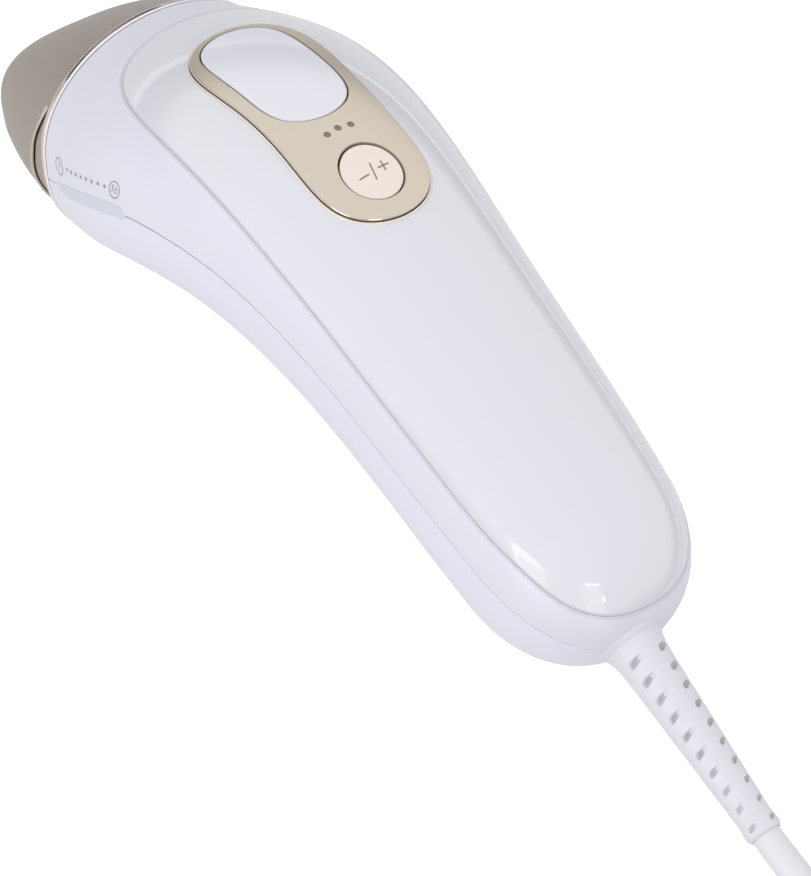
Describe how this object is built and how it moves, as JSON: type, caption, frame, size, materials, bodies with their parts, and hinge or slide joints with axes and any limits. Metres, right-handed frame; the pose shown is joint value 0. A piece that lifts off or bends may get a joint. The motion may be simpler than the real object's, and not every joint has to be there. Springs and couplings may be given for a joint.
{
  "type": "ipl hair remover",
  "caption": "Hand-held light-pulse hair remover with a curved handle, push-on treatment head, control panel and corded tail.",
  "frame": {"origin": "bottom centre of the whole object's box, which is where it stands when laid with the control face up", "axes": "+X along the handle from the treatment head to the cable, +Z out of the control face, Y across the body; the side level bar is on -Y"},
  "size_m": [0.2376, 0.0608, 0.0736],
  "materials": {
    "housing_plastic": "satin white moulded plastic",
    "side_plastic": "satin white moulded plastic",
    "gloss_plastic_white": "high gloss white",
    "champagne_trim": "champagne metallic lacquer",
    "button_white": "fine satin white",
    "button_cream": "fine satin cream",
    "lens_smoke": "smoked lens",
    "light_bar": "translucent grey lens",
    "polished_ring": "polished warm metal plating",
    "attachment_taupe": "matt taupe metallic",
    "collar_plastic": "satin grey beige",
    "sensor_lens": "dark optical lens",
    "filter_glass": "coated filter glass",
    "reflective_metal": "polished aluminium",
    "lamp_glass": "clear quartz",
    "electrode_metal": "turned nickel",
    "lamp_ceramic": "unglazed ceramic look",
    "nose_rubber": "matt silicone",
    "heat_sink_aluminium": "extruded",
    "fan_plastic": "black glass-filled plastic",
    "bearing_brass": "sintered",
    "copper_winding": "enamelled copper wire",
    "frame_plastic": "unpainted moulded plastic",
    "screw_steel": "zinc plated",
    "circuit_board": "solder mask",
    "chip_epoxy": "moulded epoxy",
    "connector_plastic": "nylon",
    "led_resin": "clear resin",
    "light_guide_clear": "clear acrylic",
    "capacitor_sleeve": "shrink sleeve",
    "ferrite": "ground ferrite",
    "relief_rubber": "matt white elastomer",
    "cable_jacket": "satin white jacket",
    "wire_insulation": "insulated wire"
  },
  "bodies": {
    "housing": {"rear_housing": "housing_plastic", "front_housing": "side_plastic", "gloss_cover": "gloss_plastic_white", "control_bezel": "champagne_trim", "indicator_lenses": "lens_smoke", "level_light_bar": "light_bar", "chrome_ring": "polished_ring", "nose_collar": "collar_plastic", "window_frame": "collar_plastic", "skin_tone_sensors": "sensor_lens", "filter_window": "filter_glass", "lamp_reflector": "reflective_metal", "light_duct": "reflective_metal", "flash_lamp": "lamp_glass", "lamp_electrodes": "electrode_metal", "lamp_holders": "lamp_ceramic", "nose_gasket": "nose_rubber", "lamp_heat_sink": "heat_sink_aluminium", "fan_housing": "fan_plastic", "fan_bearing": "bearing_brass", "fan_stator": "copper_winding", "trigger_coil": "copper_winding", "transformer_winding": "copper_winding", "inner_frame": "frame_plastic", "capacitor_cradle": "frame_plastic", "cable_clamp": "frame_plastic", "frame_screws": "screw_steel", "board_screws": "screw_steel", "clamp_screws": "screw_steel", "main_board": "circuit_board", "control_board": "circuit_board", "level_board": "circuit_board", "board_components": "chip_epoxy", "power_transistor": "chip_epoxy", "treatment_switch_body": "chip_epoxy", "mode_switch_body": "chip_epoxy", "board_connector": "connector_plastic", "indicator_leds": "led_resin", "level_leds": "led_resin", "indicator_light_guide": "light_guide_clear", "storage_capacitor": "capacitor_sleeve", "transformer_core": "ferrite", "strain_relief": "relief_rubber", "power_cable": "cable_jacket", "lamp_leads": "wire_insulation", "cable_conductors": "wire_insulation"},
    "treatment_button": {"treatment_button": "button_white"},
    "mode_button": {"mode_button": "button_cream"},
    "treatment_plunger": {"treatment_switch_plunger": "connector_plastic"},
    "mode_plunger": {"mode_switch_plunger": "connector_plastic"},
    "head_attachment": {"head_attachment": "attachment_taupe"},
    "fan_rotor": {"fan_rotor": "fan_plastic"}
  },
  "joints": [
    {"name": "treatment_button_press", "type": "slide", "parent": "housing", "child": "treatment_button", "axis": [0.3428, 0, -0.9394], "range_m": [0, 0.0008], "stiffness_N_per_m": 1500},
    {"name": "mode_button_press", "type": "slide", "parent": "housing", "child": "mode_button", "axis": [0.3428, 0, -0.9394], "range_m": [0, 0.0005], "stiffness_N_per_m": 1500},
    {"name": "treatment_plunger_travel", "type": "slide", "parent": "housing", "child": "treatment_plunger", "axis": [0.3428, 0, -0.9394], "range_m": [0, 0.0008]},
    {"name": "mode_plunger_travel", "type": "slide", "parent": "housing", "child": "mode_plunger", "axis": [0.3428, 0, -0.9394], "range_m": [0, 0.0005]},
    {"name": "attachment_slide", "type": "slide", "parent": "housing", "child": "head_attachment", "axis": [-0.7431, 0, -0.6691], "range_m": [0, 0.03]},
    {"name": "fan_spin", "type": "hinge", "parent": "housing", "child": "fan_rotor", "pos_m": [-0.07372, 0, 0.03747], "axis": [-0.7431, 0, -0.6691], "continuous": true}
  ],
  "couplings": [
    {"joint": "treatment_plunger_travel", "follows": "treatment_button_press", "ratio": 1},
    {"joint": "mode_plunger_travel", "follows": "mode_button_press", "ratio": 1}
  ]
}
